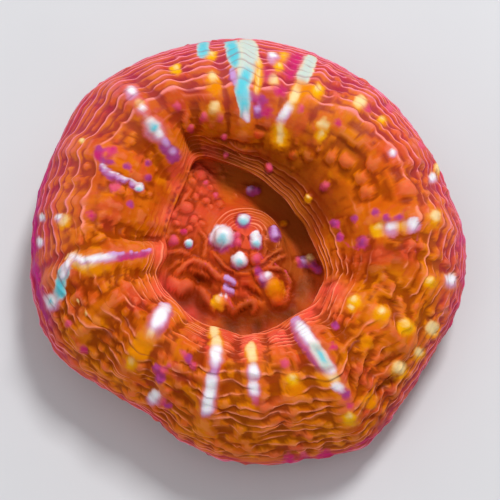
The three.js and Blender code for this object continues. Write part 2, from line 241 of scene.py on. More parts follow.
# Raised beads read off the photograph: pixel x, pixel y, radius in pixels, and pigment.
BEADS = [
    (222, 237, 11.5, "pearl"), (243.4, 219.8, 7.5, "pearl"), (255.2, 235.5, 5.4, "pearl"),
    (255.8, 239, 5.4, "pearl"), (256.4, 242.5, 5.4, "pearl"), (239, 260.3, 8.5, "pearl"),
    (188.5, 243, 4.5, "pearl"), (237.6, 235, 4.5, "pink"), (238.2, 241, 4.5, "pink"),
    (257, 258.8, 7.5, "pink"), (258, 271, 4.5, "purple"), (275, 229, 4.8, "lavender"),
    (275.4, 232.5, 4.8, "lavender"), (275.8, 236, 4.8, "lavender"), (251, 190, 4.5, "lavender"),
    (257, 190.5, 4.5, "purple"), (264, 279, 7, "lavender"), (267.5, 275, 4.5, "white"),
    (274.5, 286, 9, "gold"), (276, 292, 9, "gold"), (278, 299, 8, "scarlet"),
    (218.5, 301.5, 8, "yellow"), (225, 299, 6.5, "rose"), (176, 284, 9, "orange"),
    (184, 287, 9.5, "orange"), (204.5, 298, 6, "orange"), (173.4, 240, 6, "pink"),
    (184, 231.5, 3.5, "magenta"), (186.5, 207, 7, "rose"), (200.6, 173.4, 8, "rose"),
    (196, 196, 4, "rose"), (206, 199.7, 4.5, "rose"), (216.6, 195, 4, "pink"),
    (221, 203.5, 4, "scarlet"), (195, 218.5, 5, "rose"), (298, 260.5, 5, "pink"),
    (304, 261, 5, "lavender"), (310, 258, 4.5, "cream"), (314, 264, 4.5, "purple"),
    (318, 270, 4, "purple"), (284, 223, 3.5, "gold"), (210, 187, 3.5, "scarlet"),
    (191, 228, 3.5, "rose"), (178, 222, 3.5, "rose"), (205, 182, 3.5, "pink"), (225, 155, 4, "pink"),
    (223.6, 136.5, 5, "pink"), (268.7, 168, 5, "pink"), (258.8, 134.4, 6, "scarlet"),
    (292.5, 155, 6, "orange"), (308.7, 155.7, 7, "orange"), (330, 157, 7, "orange"),
    (346.8, 160.8, 9, "orange"), (373.2, 163.8, 10, "orange"), (360, 178.4, 9, "orange"),
    (367.4, 191.6, 9, "orange"), (405.5, 190, 13, "orange"), (324.8, 185.8, 6, "pink"),
    (308.7, 198, 5, "yellow"), (338, 122.7, 6, "magenta"), (301.3, 109.5, 5, "pink"),
    (392.3, 152, 4, "white"), (374.7, 212, 5, "purple"), (354.9, 218, 4.5, "purple"),
    (387.2, 218, 4, "purple"), (398.2, 217.3, 4, "purple"), (407, 209.2, 4.5, "scarlet"),
    (335, 222.4, 4.5, "purple"), (339.5, 237, 4.5, "purple"), (363, 241.5, 7, "purple"),
    (374.7, 270.5, 9, "orange"), (390, 284, 6, "orange"), (177.5, 106, 5.5, "pink"),
    (191, 129, 5, "pink"), (203.3, 117, 6.5, "pink"), (214, 111, 7, "cream"), (220, 117.5, 4.5, "pink"),
    (147.5, 162.5, 4, "purple"), (147.5, 177.5, 4, "purple"), (101, 166, 3.8, "lavender"),
    (105, 170.5, 3.4, "lavender"), (109.5, 174, 3.8, "lavender"), (114, 176, 3.4, "lavender"),
    (118.5, 178, 3.8, "lavender"), (125, 181, 3.8, "lavender"), (132.5, 184, 3.6, "lavender"),
    (139.5, 187.5, 5, "pearl"), (127.5, 166, 4, "purple"), (98.5, 150, 6, "purple"),
    (109, 152, 5, "pink"), (130.3, 203.8, 4, "purple"), (90.3, 215.7, 5, "magenta"),
    (102, 236, 5, "orange"), (113, 150, 6, "magenta"), (134, 152, 4, "scarlet"),
    (131, 172, 3, "scarlet"), (335, 325, 4.5, "purple"), (333, 346, 5, "magenta"),
    (354.2, 301.3, 8, "yellow"), (382, 313, 9, "yellow"), (405.5, 326.3, 9, "yellow"),
    (429.7, 282.3, 8, "yellow"), (399.6, 369, 9, "cream"), (285, 363, 6, "pink"),
    (157, 368, 6, "purple"), (163.5, 371, 6, "pink"), (160, 378, 6, "purple"), (168, 365, 4, "pink"),
    (183, 354, 5, "pink"), (188, 359, 5, "purple"), (193, 366, 5, "pink"), (163, 401, 4.5, "pink"),
    (168, 406, 4.5, "purple"), (131, 363.5, 8, "yellow"), (346.8, 393.8, 5.5, "purple"),
    (350, 405.5, 5, "magenta"), (349.8, 418.7, 9, "yellow"), (366, 342, 7, "gold"),
    (352, 330, 5, "orange"), (432, 312, 6, "orange"),
]

# Flat stains: pixel x, pixel y, radius in pixels, and pigment. Later ones cover earlier ones.
STAINS = [
    (97, 155, 4, "magenta"), (104, 160, 4, "purple"), (112, 162, 3.5, "purple"), (115, 188, 6, "pink"),
    (142, 106, 9, "pink"), (155, 127, 11, "pink"), (173, 154, 7, "purple"), (131.4, 90.5, 7, "pink"),
    (166, 145, 5, "lavender"), (131.4, 91, 5.5, "white"), (140, 104, 5, "cream"),
    (142.5, 108, 4.5, "white"), (151, 122, 6, "white"), (155, 128, 7.5, "white"), (159, 134, 6, "white"),
    (154, 127, 4.5, "cyan"), (165, 143, 4.5, "lavender"), (172.5, 152.5, 6, "lavender"),
    (176, 69, 6, "yellow"), (212, 55, 6, "yellow"), (212.6, 77.5, 6, "cream"), (215, 88, 6, "gold"),
    (215, 106.6, 6, "cream"), (317.7, 90.5, 7, "yellow"), (360.6, 102, 7, "cream"),
    (323, 125, 6.5, "cream"), (321, 135.7, 5.5, "yellow"), (373, 85, 5, "pink"), (389.7, 108, 5, "pink"),
    (382, 120, 5, "yellow"), (423, 145, 5, "pink"), (440, 168, 5, "cream"), (432.6, 177, 4.5, "white"),
    (368, 108, 5, "magenta"), (63, 220, 6, "cream"), (58.5, 217, 4, "white"), (42, 217.6, 3.5, "white"),
    (38.5, 242, 4, "white"), (81.7, 141, 3, "cream"), (50.3, 301, 7, "white"), (50.3, 301, 3, "cyan"),
    (451, 280, 7, "white"), (432.5, 329, 7, "cream"), (379, 229, 7.5, "yellow"),
    (391, 227.5, 6.5, "white"), (404, 226, 6, "yellow"), (413.4, 223.7, 6, "white"),
    (435.6, 216.8, 7, "cream"), (382, 311, 5, "cream"), (351, 308, 3.5, "cream"), (419, 353, 6, "cream"),
    (370, 401, 7, "gold"), (288.6, 459, 6, "magenta"), (325, 454, 6, "magenta"), (304, 455, 5, "pink"),
    (153.5, 397.2, 6, "white"), (292, 380, 7, "yellow"), (83, 348.8, 5, "magenta"), (68, 324, 4, "pink"),
    (284, 55, 5, "yellow"), (273, 56, 5, "white"), (279.4, 66, 5, "yellow"), (273, 80, 5, "cream"),
    (265.6, 74.4, 6, "magenta"), (281, 90, 6, "magenta"), (252, 97, 6, "purple"),
    (262, 100, 5, "purple"), (258, 111, 5, "lavender"), (268, 112, 6, "magenta"),
    (295, 60, 7, "magenta"), (290, 74, 6, "magenta"),
]

# Streaks along the septa: pigment, radius in pixels, and the pixels that each one runs through.
STREAKS = [
    ("cyan", 5, [(203, 42), (203, 53)]),
    ("cyan", 5.5, [(231, 42), (233, 50), (236, 62)]),
    ("lavender", 4, [(232, 72), (234, 82)]),
    ("mint", 7, [(247, 41), (250, 50), (249, 62), (246, 74)]),
    ("yellow", 4, [(259, 62), (259, 76), (256, 92)]),
    ("cyan", 5.5, [(247, 72), (244, 80), (241, 90), (243, 100)]),
    ("cyan", 4.5, [(243, 100), (244, 112)]),
    ("white", 3.5, [(245, 112), (247, 119)]),
    ("mint", 5, [(312, 57), (307, 68), (303, 79)]),
    ("cream", 5, [(299, 86), (294, 97), (288, 109)]),
    ("white", 4.5, [(288, 108), (281, 119)]),
    ("yellow", 7.5, [(280, 128), (280, 143)]),
    ("gold", 5, [(300, 84), (306, 92)]),
    ("gold", 8, [(88, 266), (106, 264)]),
    ("pink", 4, [(108, 258), (131, 256), (152, 252)]),
    ("purple", 2.5, [(120, 257), (131, 256), (144, 254)]),
    ("cream", 6.5, [(72, 258), (84, 263), (94, 262)]),
    ("white", 3.5, [(72, 256), (84, 260), (100, 258), (116, 256)]),
    ("lavender", 3, [(112, 255), (122, 254.5)]),
    ("lavender", 2.4, [(131, 253), (136, 252.5)]),
    ("lavender", 2.8, [(143, 252), (150, 251)]),
    ("cyan", 4.5, [(64, 270), (60, 284), (61, 296)]),
    ("white", 3, [(67, 262), (62, 276)]),
    ("cream", 1.6, [(77, 300), (86, 314)]),
    ("white", 1.5, [(101, 164), (109, 171), (118, 175), (125, 178), (132, 181), (139, 185)]),
    ("gold", 8, [(150, 333), (143, 345), (134, 357)]),
    ("lavender", 7, [(165, 308), (158, 320), (154, 330)]),
    ("cream", 5, [(155, 326), (150, 334)]),
    ("white", 6.5, [(165, 309), (160, 317), (155, 324)]),
    ("cream", 5.5, [(214, 329), (217, 345), (216, 360)]),
    ("lavender", 4, [(217, 362), (213, 380)]),
    ("white", 6, [(216, 350), (215, 362)]),
    ("white", 6, [(212, 380), (210, 394), (206.5, 410)]),
    ("cream", 5, [(251, 345), (252.5, 360)]),
    ("white", 5.5, [(253.5, 368), (254, 376)]),
    ("white", 5.5, [(254, 386), (254.5, 392)]),
    ("pink", 4.5, [(255, 398), (256, 404)]),
    ("gold", 7, [(320, 374), (330, 380)]),
    ("lavender", 6.5, [(296, 323), (304, 334), (312, 347), (320, 361)]),
    ("cream", 6, [(328, 372), (334, 378)]),
    ("white", 5.5, [(299, 325), (308, 337), (319, 352), (330, 369)]),
    ("mint", 4.5, [(314, 346), (327, 365)]),
    ("cyan", 2.5, [(318, 351), (325, 361)]),
    ("white", 4.5, [(336, 386), (339, 388)]),
    ("lavender", 3.4, [(225, 277.5), (234, 283)]),
    ("lavender", 3.4, [(224, 287), (233, 292.5)]),
    ("pink", 1.5, [(194, 256), (206, 264), (217, 273)]),
    ("pink", 1.5, [(229, 299), (234, 309), (247, 301), (256, 299)]),
    ("pink", 1.5, [(263, 266), (275, 264), (286, 271), (291, 284), (288, 298)]),
    ("purple", 2.5, [(33, 262), (37, 292), (48, 322)]),
    ("magenta", 2.0, [(300, 461), (345, 453), (387, 428), (424, 374), (449, 331), (463, 292)]),
    # A dark line in the crease where the disc meets the left lip: partly the flesh's own dark magenta,
    # partly painted shade in the crease.
    ("wine", 2.2, [(206, 153), (196, 164), (183, 180), (172, 200), (166, 220), (164, 240)]),
    ("fuchsia", 5, [(54, 145), (45, 165), (38, 190), (34, 220), (33, 250), (36, 275), (43, 302)]),
    ("fuchsia", 3, [(440, 150), (455, 185), (463, 220), (464, 260)]),
    ("white", 2, [(221, 295), (226, 296)]),
    ("magenta", 1.5, [(337, 222), (341, 236), (348, 246), (358, 250)]),
    ("pink", 1.3, [(418, 206), (420, 220), (417, 240), (415, 255)]),
]

# Folds that stand out of the flesh: height in mm, half width in pixels, and the pixels each runs through.
FOLDS = [
    (0.7, 5, [(341, 354), (352, 338), (364, 326)]),
    (0.6, 5, [(369, 335), (364, 360), (357, 384)]),
    (0.7, 5, [(362, 380), (378, 360), (396, 344)]),
    (0.7, 6, [(366, 388), (388, 373), (404, 350), (416, 322)]),
    (0.5, 4, [(345, 276), (334, 292), (322, 312)]),
    (0.5, 4, [(352, 284), (343, 300), (334, 314)]),
    (0.5, 5, [(330, 128), (350, 138), (368, 146), (392, 152)]),
    (0.5, 4, [(318, 112), (340, 122), (356, 134)]),
    (0.6, 5, [(172, 104), (185, 98), (205, 97), (224, 99)]),
    (0.5, 5, [(188, 112), (186, 122), (190, 132)]),
    (0.5, 4, [(232, 118), (252, 121), (276, 126)]),
    (0.9, 3.8, [(224, 277), (229, 280), (235, 284)]),
    (0.9, 3.8, [(223, 286.5), (228, 289.5), (234, 293.5)]),
    (1.0, 4.5, [(178, 273), (186, 264), (194, 258)]),
    (0.9, 4.5, [(194, 258), (206, 266), (217, 275), (226, 278)]),
    (0.9, 5, [(202, 292), (206, 300), (212, 307)]),
    (0.9, 4, [(229, 300), (234, 311), (247, 303), (255, 300)]),
    (0.7, 4, [(255, 300), (253, 311)]),
    (0.7, 3, [(262, 268), (275, 266), (285, 272), (290, 284), (288, 298), (281, 306)]),
    (0.7, 3, [(258, 265), (270, 256), (282, 249)]),
    (0.5, 2.5, [(263, 269), (275, 260), (287, 254)]),
    (0.8, 4, [(296, 262), (308, 261), (319, 271)]),
    (0.5, 3, [(200, 226), (207, 240), (204, 254)]),
    (0.5, 3, [(212, 252), (222, 264), (236, 272), (250, 273)]),
    (0.6, 3, [(263, 232), (267, 244), (266, 256)]),
    (0.5, 3, [(176, 212), (184, 200), (190, 190)]),
    (0.5, 3, [(190, 172), (200, 164), (211, 176)]),
    (0.4, 2.5, [(168, 252), (180, 250), (192, 254)]),
    (0.4, 2.5, [(170, 268), (178, 262), (186, 258)]),
]

# Grooves, in the same form. Their heights are depths.
GROOVES = [
    (0.6, 4, [(126, 236), (142, 237), (158, 236)]),
    (0.5, 4, [(203, 140), (230, 141), (262, 146)]),
    (0.5, 4, [(206, 146), (238, 152), (266, 162)]),
    (1.1, 6, [(191, 275), (199, 280), (206, 281)]),
    (0.7, 4, [(246, 288), (252, 292), (262, 298)]),
    (0.7, 4, [(350, 350), (352, 372), (350, 392)]),
    (0.6, 4, [(374, 352), (366, 370), (360, 386)]),
    (0.6, 5, [(410, 352), (396, 378), (372, 400)]),
    (0.6, 6, [(372, 300), (392, 302), (398, 332)]),
    (0.5, 5, [(340, 140), (352, 152), (364, 160)]),
]

# Scattered beads: how many, the azimuths in degrees and the profile steps they lie between,
# and their smallest and largest radius in mm.
SCATTER = [
    (34, (-25, 115), (7.4, 8.8), (0.4, 0.8)),
    (26, (95, 200), (2.4, 4.1), (0.4, 0.9)),
    (70, (125, 215), (7.4, 9.9), (0.5, 1.2)),
    (190, (200, 345), (8.0, 11.4), (0.6, 1.5)),
    (70, (-15, 60), (9.0, 11.0), (0.6, 1.3)),
    (60, (0, 360), (9.5, 11.6), (0.4, 0.9)),
]

# Scattered flakes, lumps drawn out along the ledges: the same, with half widths in place of radii,
# and their smallest and largest length in mm.
FLAKES = [
    (240, (200, 345), (7.9, 11.5), (0.6, 1.1), (1.5, 4.0)),
    (50, (-40, 60), (8.6, 11.0), (0.5, 0.9), (1.5, 4.0)),
    (40, (60, 130), (8.6, 10.5), (0.5, 0.8), (1.5, 3.5)),
    (30, (130, 200), (7.8, 9.6), (0.5, 0.8), (1.5, 3.5)),
    (10, (180, 330), (2.0, 4.0), (0.3, 0.6), (2.5, 6.0)),
]

# Broad soft changes of colour: pixel x, pixel y, radius in pixels, pigment and how much of it. The brown and
# umber ones are painted shade in the cavity under the lip, under the near lip and in pits; the olive ones
# are partly the bowl's own colour and partly painted shade.
WASHES_AND_SHADE = [
    (150, 225, 46, "rust", 0.2), (120, 175, 30, "orange", 0.3), (163, 290, 17, "rose", 0.9),
    (190, 312, 17, "rose", 0.9), (215, 338, 18, "rose", 0.9), (250, 345, 19, "rose", 0.95),
    (285, 335, 19, "rose", 0.95), (312, 314, 18, "rose", 0.9), (332, 292, 17, "rose", 0.85),
    (160, 250, 13, "rose", 0.8), (165, 215, 11, "rose", 0.7), (178, 185, 10, "rose", 0.6),
    (190, 160, 10, "rose", 0.5), (180, 120, 22, "orange", 0.3), (290, 178, 36, "brown_shade", 0.9),
    (330, 205, 26, "rust", 0.6), (345, 235, 20, "rust", 0.6), (335, 150, 40, "gold", 0.3),
    (380, 180, 36, "orange", 0.5), (350, 120, 30, "gold", 0.35), (258, 160, 26, "brown_shade", 0.7),
    (215, 138, 20, "brown_shade", 0.55), (315, 215, 28, "brown_shade", 0.85), (360, 262, 24, "rust", 0.6),
    (385, 262, 22, "brown_shade", 0.4), (330, 262, 18, "rust", 0.5), (228, 160, 15, "brown_shade", 0.7),
    (256, 180, 15, "olive_and_shade", 0.7), (284, 203, 15, "olive_and_shade", 0.7), (306, 230, 15, "brown_shade", 0.6),
    (236, 176, 20, "olive_and_shade", 0.8), (268, 200, 22, "olive_and_shade", 0.85), (290, 228, 22, "olive_and_shade", 0.85),
    (304, 256, 16, "olive_and_shade", 0.7), (230, 322, 12, "umber_shade", 0.9), (258, 324, 13, "umber_shade", 0.95),
    (288, 311, 12, "umber_shade", 0.9), (243, 314, 14, "umber_shade", 0.8), (272, 314, 12, "umber_shade", 0.8),
    (300, 294, 12, "olive_and_shade", 0.8), (205, 311, 10, "brown_shade", 0.8), (306, 280, 12, "olive_and_shade", 0.8),
    (188, 302, 8, "brown_shade", 0.7), (184, 296, 8, "brown_shade", 0.6), (170, 264, 8, "brown_shade", 0.7),
    (292, 268, 14, "olive_and_shade", 0.7), (284, 262, 12, "olive_and_shade", 0.5), (298, 284, 10, "umber_shade", 0.6),
    (199, 302, 9, "umber_shade", 0.8), (190, 295, 8, "brown_shade", 0.6), (197, 280, 7, "umber_shade", 0.95),
    (208, 284, 6, "umber_shade", 0.8), (276, 246, 13, "olive_and_shade", 0.6), (262, 262, 10, "rose", 0.4),
    (225, 260, 14, "rust", 0.5), (240, 232, 20, "rose", 0.5), (200, 240, 14, "rust", 0.5),
    (190, 215, 16, "rose", 0.5), (205, 180, 14, "rose", 0.5), (300, 395, 26, "gold", 0.6),
    (262, 438, 34, "gold", 0.45), (330, 436, 24, "gold", 0.4), (152, 342, 26, "gold", 0.5),
    (100, 318, 22, "gold", 0.35), (190, 420, 24, "gold", 0.45), (400, 350, 24, "rust", 0.5),
    (385, 300, 26, "gold", 0.5), (425, 320, 20, "gold", 0.4), (350, 372, 18, "rust", 0.4),
    (90, 360, 20, "gold", 0.4), (150, 150, 15, "rust", 0.5), (36, 200, 9, "fuchsia", 0.6),
    (33, 222, 8, "fuchsia", 0.6), (32, 245, 8, "fuchsia", 0.6), (33, 268, 8, "fuchsia", 0.6),
    (38, 292, 8, "fuchsia", 0.5), (43, 178, 8, "fuchsia", 0.5), (54, 150, 9, "fuchsia", 0.4),
    (52, 320, 8, "fuchsia", 0.4), (455, 200, 8, "fuchsia", 0.4), (463, 240, 8, "fuchsia", 0.5),
    (462, 280, 8, "fuchsia", 0.5), (340, 130, 24, "gold", 0.5), (390, 130, 22, "orange", 0.5),
    (215, 84, 14, "gold", 0.5), (295, 66, 14, "magenta", 0.5), (250, 85, 10, "gold", 0.4),
    (110, 270, 18, "gold", 0.45),
]

# How high a read bead stands, in mm and as a share of its radius, outside the disc and on it,
# the disc's radius in mm, the share of a scattered bead, and the scale of the folds' heights.
BEAD_LEAST_HEIGHT = 0.18
BEAD_HEIGHT_SHARE = 0.48
DISC_BEAD_SHARE = 0.6
DISC_REACH = 14.0
SCATTER_HEIGHT_SHARE = 0.5
FOLD_HEIGHT_SCALE = 1.2

# How much wider than they are listed beads are raised, and stains and streaks are laid.
BEAD_SPREAD = 1.1
STAIN_SPREAD = 1.15
STREAK_SPREAD = 1.1

# How steeply beads rise: 1 is a sharp foot, and more is a softer one.
BEAD_SHARPNESS = 1.5
DISC_SHARPNESS = 1.1
FOLD_SHARPNESS = 1.4


def srgb(colour):
    """The linear RGBA of an sRGB colour."""
    return tuple(c / 12.92 if c <= 0.04045 else ((c + 0.055) / 1.055) ** 2.4 for c in colour) + (1.0,)


def smoothstep(low, high, value):
    """0 below low, 1 above high, and smooth between."""
    share = np.clip((value - low) / (high - low), 0, 1)
    return share * share * (3 - 2 * share)


def curve(t, here, rise, slope_in, slope_out):
    """A smooth curve's value at share t of the way over a rise, with its slopes at both ends."""
    return here + t * (slope_in + t * (3 * rise - 2 * slope_in - slope_out
                                       + t * (slope_in + slope_out - 2 * rise)))


def around(values, azimuth):
    """Value at azimuths in radians of a list given at even steps round the coral."""
    values = np.asarray(values, float)
    place = np.mod(azimuth / (2 * math.pi), 1) * len(values)
    first = np.floor(place).astype(int)
    t = place - first
    before, here, after, beyond = (values[(first + k) % len(values)] for k in (-1, 0, 1, 2))
    return curve(t, here, after - here, (after - before) / 2, (beyond - here) / 2)


def noise(points, cell, seed):
    """Smooth noise from -1 to 1 at points (..., 3), with features about one cell across."""
    place = points / cell
    corner = np.floor(place).astype(np.int64)
    blend = place - corner
    blend = blend * blend * (3 - 2 * blend)
    total = np.zeros(points.shape[:-1])
    for offset in itertools.product((0, 1), repeat=3):
        x, y, z = np.moveaxis(corner + offset, -1, 0)
        mixed = (x * 73856093) ^ (y * 19349663) ^ (z * 83492791) ^ (seed * 2654435761)
        mixed = (mixed ^ (mixed >> 13)) * 1274126177 & 0xFFFFFFFF
        value = ((mixed ^ (mixed >> 16)) & 0xFFFF) / 32767.5 - 1
        weight_x, weight_y, weight_z = np.moveaxis(np.where(offset, blend, 1 - blend), -1, 0)
        total += value * weight_x * weight_y * weight_z
    return total


def warped(points, amount, cell, seed):
    """Points moved by smooth noise, so that what is drawn round a centre comes out uneven."""
    shift = np.stack([noise(points, cell, seed + axis) for axis in range(3)], axis=-1)
    return points + amount * shift


def stations(azimuth):
    """The half section's named points at azimuths (n): radius and height, as (17, n, 2)."""
    edge, lip = around(EDGE_RADIUS, azimuth), around(LIP_RADIUS, azimuth)
    edge_height, crest_height = around(EDGE_HEIGHT, azimuth), around(CREST_HEIGHT, azimuth)
    lip_height, floor_height = around(LIP_HEIGHT, azimuth), around(FLOOR_HEIGHT, azimuth)
    overhang = around(OVERHANG, azimuth)
    crest = lip + (edge - lip) * around(CREST_SHARE, azimuth)
    base = edge * BASE_SHARE
    zero = np.zeros_like(azimuth)
    points = [
        (zero, zero + MOUTH_HEIGHT),
        (zero + MOUND_RADIUS * 0.5, zero + MOUTH_HEIGHT - MOUND_DROP * 0.2),
        (zero + MOUND_RADIUS, zero + MOUTH_HEIGHT - MOUND_DROP),
        (lip * FLOOR_SHARE, floor_height),
        (lip + overhang, floor_height + (lip_height - floor_height) * 0.12),
        (lip + overhang * 0.35, floor_height + (lip_height - floor_height) * 0.5),
        (lip, floor_height + (lip_height - floor_height) * 0.82),
        (lip + LIP_ROLL, lip_height),
        (lip + (crest - lip) * 0.55, lip_height + (crest_height - lip_height) * 0.6),
        (crest, crest_height),
        (crest + (edge - crest) * 0.5, edge_height + (crest_height - edge_height) * 0.83),
        (crest + (edge - crest) * 0.86, edge_height + (crest_height - edge_height) * 0.45),
        (edge, edge_height),
        (edge - RIM_ROLL, edge_height - RIM_DROP),
        (edge - UNDERSIDE_INSET, zero + UNDERSIDE_HEIGHT),
        (base + BASE_FLARE, zero + BASE_BEVEL),
        (base, zero),
    ]
    return np.array([np.stack(point, axis=-1) for point in points])


def along_profile(points, step):
    """Points (..., n, 2) of the centripetal curve through the stations, at profile steps (..., n)."""
    ends = 2 * points[0] - points[1], 2 * points[-1] - points[-2]
    padded = np.concatenate([ends[0][None], points, ends[1][None]])
    step = np.clip(step, 0, BASE_RIM)
    first = np.minimum(np.floor(step).astype(int), BASE_RIM - 1)
    t = (step - first)[..., None]
    column = np.broadcast_to(np.arange(points.shape[1]), first.shape)
    p0, p1, p2, p3 = (padded[first + k, column] for k in range(4))
    pairs = ((p0, p1), (p1, p2), (p2, p3))
    gap01, gap12, gap23 = (np.linalg.norm(b - a, axis=-1)[..., None] ** 0.5 for a, b in pairs)
    slope_in = ((p1 - p0) / gap01 - (p2 - p0) / (gap01 + gap12) + (p2 - p1) / gap12) * gap12
    slope_out = ((p2 - p1) / gap12 - (p3 - p1) / (gap12 + gap23) + (p3 - p2) / gap23) * gap12
    return curve(t, p1, p2 - p1, slope_in, slope_out)


def smooth_points(azimuth, step):
    """Points (..., n, 3) of the smooth skin at azimuths (n) and profile steps (..., n)."""
    flat = along_profile(stations(azimuth), step)
    return np.stack([flat[..., 0] * np.cos(azimuth), flat[..., 0] * np.sin(azimuth), flat[..., 1]], axis=-1)


def smooth_normals(azimuth, step):
    """Outward unit normals of the smooth skin."""
    small_step, small_turn = 0.02, 0.01
    below = np.minimum(step + small_step, BASE_RIM)
    along = smooth_points(azimuth, below) - smooth_points(azimuth, step - small_step)
    aside = smooth_points(azimuth + small_turn, step) - smooth_points(azimuth - small_turn, step)
    normal = np.cross(along, aside)
    return normal / np.maximum(np.linalg.norm(normal, axis=-1, keepdims=True), 1e-9)


def dome(distance, sharpness=2.0):
    """A smooth bump of height 1 that reaches 0 at distance 1."""
    return np.clip(1 - distance * distance, 0, None) ** sharpness


def to_pixels(points):
    """Pixel x, pixel y and depth in mm of points (..., 3), in the photograph's camera."""
    sine, cosine = math.sin(CAMERA_ELEVATION), math.cos(CAMERA_ELEVATION)
    back = np.array([0, -cosine, sine])
    from_camera = points - (CAMERA_TARGET + back * CAMERA_DISTANCE)
    depth = -(from_camera @ back)
    scale = CAMERA_DISTANCE / PIXEL_SIZE / depth
    x = FRAME_PIXELS / 2 + scale * from_camera[..., 0]
    y = FRAME_PIXELS / 2 - scale * (from_camera @ np.array([0, sine, cosine]))
    return x, y, depth


class SkinFinder:
    """Finds the point of a surface that shows at a pixel of the photograph."""

    def __init__(self, points):
        self.points = points.reshape(-1, 3)
        self.x, self.y, self.depth = to_pixels(self.points)

    def at(self, x, y):
        reach = (self.x - x) ** 2 + (self.y - y) ** 2
        close = reach < max(reach.min() * 4, 2.0)
        near = np.where(close, self.depth, np.inf)
        return self.points[int(np.argmin(near))]


def ring_distance(azimuth, degrees, radius):
    """Distance in mm round the coral between azimuths (n) and one azimuth, at radii (..., n)."""
    return 2 * np.abs(np.sin((azimuth - math.radians(degrees)) / 2)) * radius


def ridge_height(ridges, azimuth, step, points):
    """Height in mm of broad radial ridges."""
    radius = np.hypot(points[..., 0], points[..., 1])
    share = (step - NOSE) / (EDGE - NOSE)
    height = np.zeros_like(radius)
    for degrees, rise, half_width, begin, end in ridges:
        along = smoothstep(begin, begin + 0.15, share) * (1 - smoothstep(end - 0.2, end, share))
        bump = rise * along * dome(ring_distance(azimuth, degrees, radius) / half_width)
        height = np.maximum(height, bump)
    return np.where((step > NOSE - 1) & (step < EDGE + 1), height, 0)


def rib_height(azimuth, step, points, ribs):
    """Height in mm of the fine radial ribs. Each rib is an azimuth in degrees and a strength."""
    radius = np.hypot(points[..., 0], points[..., 1])
    height = np.zeros_like(radius)
    for degrees, strength in ribs:
        bump = strength * RIB_HEIGHT * dome(ring_distance(azimuth, degrees, radius) / RIB_HALF_WIDTH)
        height = np.maximum(height, bump)
    inside = smoothstep(NOSE + 0.3, NOSE + 1.5, step) * (1 - smoothstep(EDGE, EDGE + 1.5, step))
    return height * inside


def bead_height(points, beads):
    """Height in mm of the beads. Each bead is a centre, a radius and a height in mm, and a sharpness."""
    flat = points.reshape(-1, 3)
    height = np.zeros(len(flat))
    for centre, radius, rise, sharpness in beads:
        low, high = centre - radius, centre + radius
        near = np.flatnonzero(np.all((flat > low) & (flat < high), axis=1))
        distance = np.linalg.norm(flat[near] - centre, axis=1) / radius
        height[near] = np.maximum(height[near], rise * dome(distance, sharpness))
    return height.reshape(points.shape[:-1])


def make_ribs(random):
    """Azimuths in degrees and strengths of the fine ribs, unevenly spaced."""
    gap = 360 / RIB_COUNT
    return [(gap * (k + random.uniform(-0.3, 0.3)), random.uniform(0.4, 1.0)) for k in range(RIB_COUNT)]


def make_beads(random, finder):
    """The read and the scattered beads, in the form that bead_height takes."""
    beads = []
    for x, y, radius, _ in BEADS:
        reach = radius * PIXEL_SIZE * BEAD_SPREAD
        centre = finder.at(x, y)
        on_disc = math.hypot(centre[0], centre[1]) < DISC_REACH
        share = DISC_BEAD_SHARE if on_disc else BEAD_HEIGHT_SHARE
        sharpness = DISC_SHARPNESS if on_disc else BEAD_SHARPNESS
        beads.append((centre, reach, BEAD_LEAST_HEIGHT + share * reach, sharpness))
    for count, (from_degrees, to_degrees), (from_step, to_step), (smallest, largest) in SCATTER:
        for _ in range(count):
            turn = np.array([math.radians(random.uniform(from_degrees, to_degrees))])
            place = smooth_points(turn, np.array([random.uniform(from_step, to_step)]))[0]
            reach = random.uniform(smallest, largest)
            beads.append((place, reach, SCATTER_HEIGHT_SHARE * reach, BEAD_SHARPNESS))
    return beads


def make_flakes(random):
    """Rows of close-set beads along the ledges, in the same form."""
    flakes = []
    for count, degrees, steps, half_widths, lengths in FLAKES:
        for _ in range(count):
            middle = math.radians(random.uniform(*degrees))
            step = random.uniform(*steps)
            half_width = random.uniform(*half_widths)
            radius = np.hypot(*smooth_points(np.array([middle]), np.array([step]))[0][:2])
            half_turn = random.uniform(*lengths) / radius / 2
            slant = random.uniform(-0.06, 0.06)
            for share in np.linspace(-1, 1, 7):
                turn = np.array([middle + half_turn * share])
                place = smooth_points(turn, np.array([step + slant * share]))[0]
                size = half_width * math.sqrt(1 - 0.6 * share * share)
                flakes.append((place, size, SCATTER_HEIGHT_SHARE * size, BEAD_SHARPNESS))
    return flakes


def pixels_along(path, gap):
    """Pixels about one gap apart along a path."""
    pixels = []
    for (x0, y0), (x1, y1) in zip(path, path[1:]):
        count = max(2, int(math.hypot(x1 - x0, y1 - y0) / gap))
        pixels += [(x0 + (x1 - x0) * share, y0 + (y1 - y0) * share) for share in np.linspace(0, 1, count)]
    return pixels


def blurred(field, reach):
    """Rows (m, n) averaged over nearby rows, and over nearby columns right round the coral."""
    padded = np.pad(field, ((reach, reach), (0, 0)), mode="edge")
    rows = sum(padded[k:k + len(field)] for k in range(2 * reach + 1)) / (2 * reach + 1)
    return sum(np.roll(rows, k, axis=1) for k in range(-reach, reach + 1)) / (2 * reach + 1)


def make_chains(folds, finder):
    """Close-set beads along each fold, in the same form."""
    chains = []
    for height, half_width, path in folds:
        pixels = pixels_along(path, 1.5)
        for number, (x, y) in enumerate(pixels):
            taper = math.sin(math.pi * (number + 1) / (len(pixels) + 1)) ** 0.5
            rise = FOLD_HEIGHT_SCALE * height * taper
            chains.append((finder.at(x, y), half_width * PIXEL_SIZE, rise, FOLD_SHARPNESS))
    return chains


